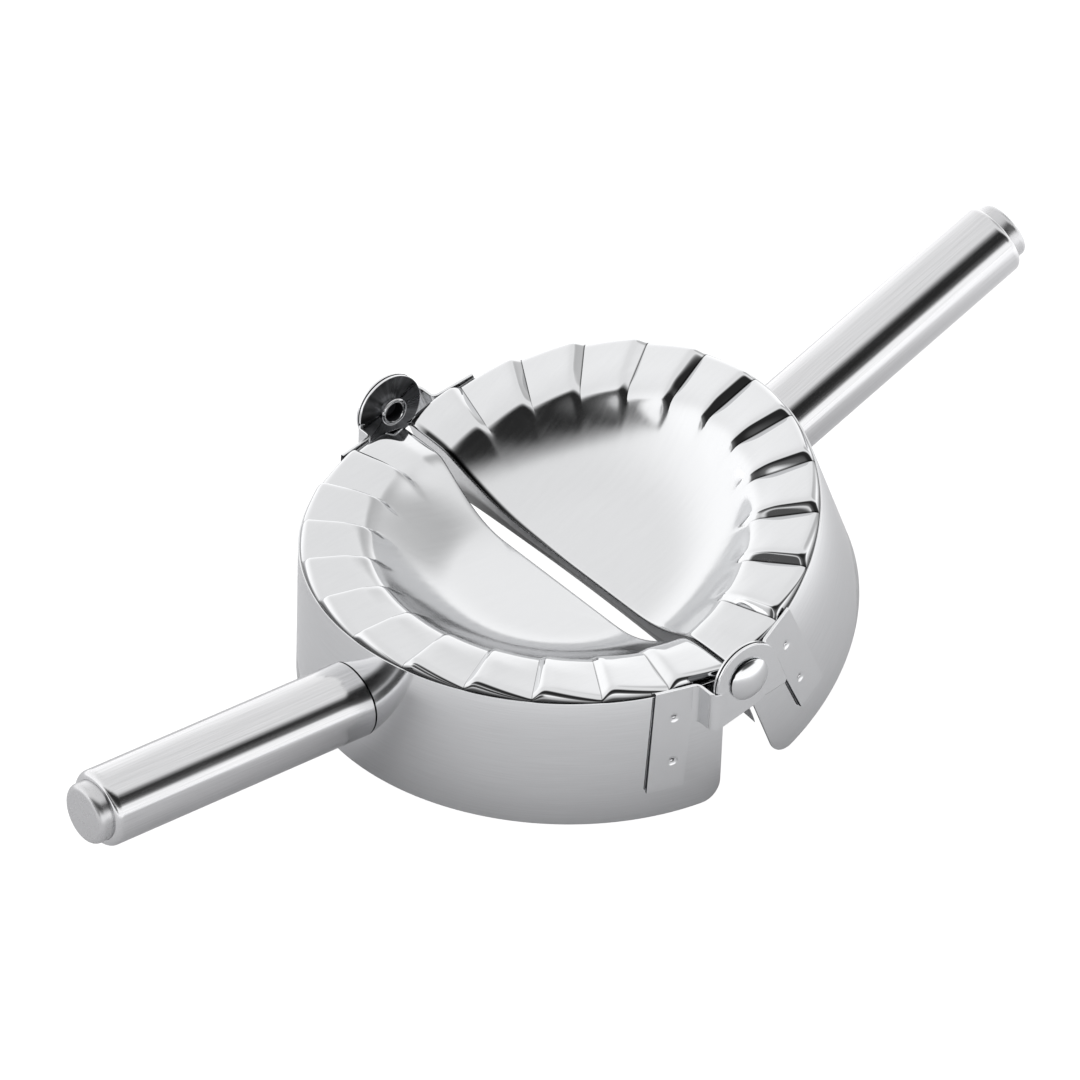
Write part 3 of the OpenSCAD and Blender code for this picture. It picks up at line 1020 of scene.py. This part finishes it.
def light_studio():
    """A white tent with a dark wall on the camera's side and two soft screens."""
    world = bpy.data.worlds.new("studio")
    bpy.context.scene.world = world
    world.use_nodes = True
    tree = world.node_tree
    coords = tree.nodes.new("ShaderNodeTexCoord")

    def along(x, y, z):
        dot = tree.nodes.new("ShaderNodeVectorMath")
        dot.operation = "DOT_PRODUCT"
        dot.inputs[1].default_value = (x, y, z)
        tree.links.new(coords.outputs["Generated"], dot.inputs[0])
        return dot.outputs["Value"]

    def towards(degrees):
        turn = math.radians(degrees)
        return along(math.cos(turn), math.sin(turn), 0)

    height = along(0, 0, 1)

    # Dark wall: it ends above at a slope, stops short of the floor, and is darkest high up
    depth = math_node(tree, "ADD", towards(-112), 0.25)
    slope = math_node(tree, "DIVIDE", height, math_node(tree, "MAXIMUM", depth, 0.01))
    wall = times(
        tree, fade(tree, slope, 0.95, 1.7, 1.0, 0.0), fade(tree, height, 0.285, 0.39, 0.0, 1.0)
    )
    wall = times(tree, wall, fade(tree, height, 0.35, 0.60, 0.86, 0.975))

    # A round screen high on the far half's side, and a low one beyond the near handle
    screen = times(tree, fade(tree, along(0.82, 0.10, 0.564), 0.90, 0.99, 0.0, 1.0), 0.42)
    low_screen = times(
        tree,
        fade(tree, towards(-165), 0.80, 0.92, 0.0, 1.0),
        fade(tree, height, 0.24, 0.34, 0.92, 0.0),
    )

    # The tent is brightest near the floor
    glow = fade(tree, height, 0.1, 0.9, 1.38, 1.02)
    for dark in (wall, screen, low_screen):
        glow = times(tree, glow, math_node(tree, "SUBTRACT", 1.0, dark))
    background = tree.nodes["Background"]
    tree.links.new(glow, background.inputs["Strength"])
    background.inputs["Color"].default_value = (1.0, 1.0, 1.0, 1)


def set_camera():
    az, el, roll = (math.radians(a) for a in CAMERA_ANGLES)
    back = Vector((math.sin(az) * math.cos(el), -math.cos(az) * math.cos(el), math.sin(el)))
    right = (-back).cross(Vector((0, 0, 1))).normalized()
    up = right.cross(-back)
    right, up = (
        math.cos(roll) * right + math.sin(roll) * up,
        -math.sin(roll) * right + math.cos(roll) * up,
    )
    data = bpy.data.cameras.new("camera")
    data.sensor_width = CAMERA_SENSOR
    data.lens = CAMERA_LENS
    data.clip_start, data.clip_end = CAMERA_DEPTH
    camera = bpy.data.objects.new("camera", data)
    bpy.context.scene.collection.objects.link(camera)
    camera.matrix_world = Matrix((
        (right.x, up.x, back.x, CAMERA_PLACE[0]),
        (right.y, up.y, back.y, CAMERA_PLACE[1]),
        (right.z, up.z, back.z, CAMERA_PLACE[2]),
        (0, 0, 0, 1),
    ))
    bpy.context.scene.camera = camera


lay_floor()
light_studio()
set_camera()
bpy.context.scene.view_settings.view_transform = "Standard"
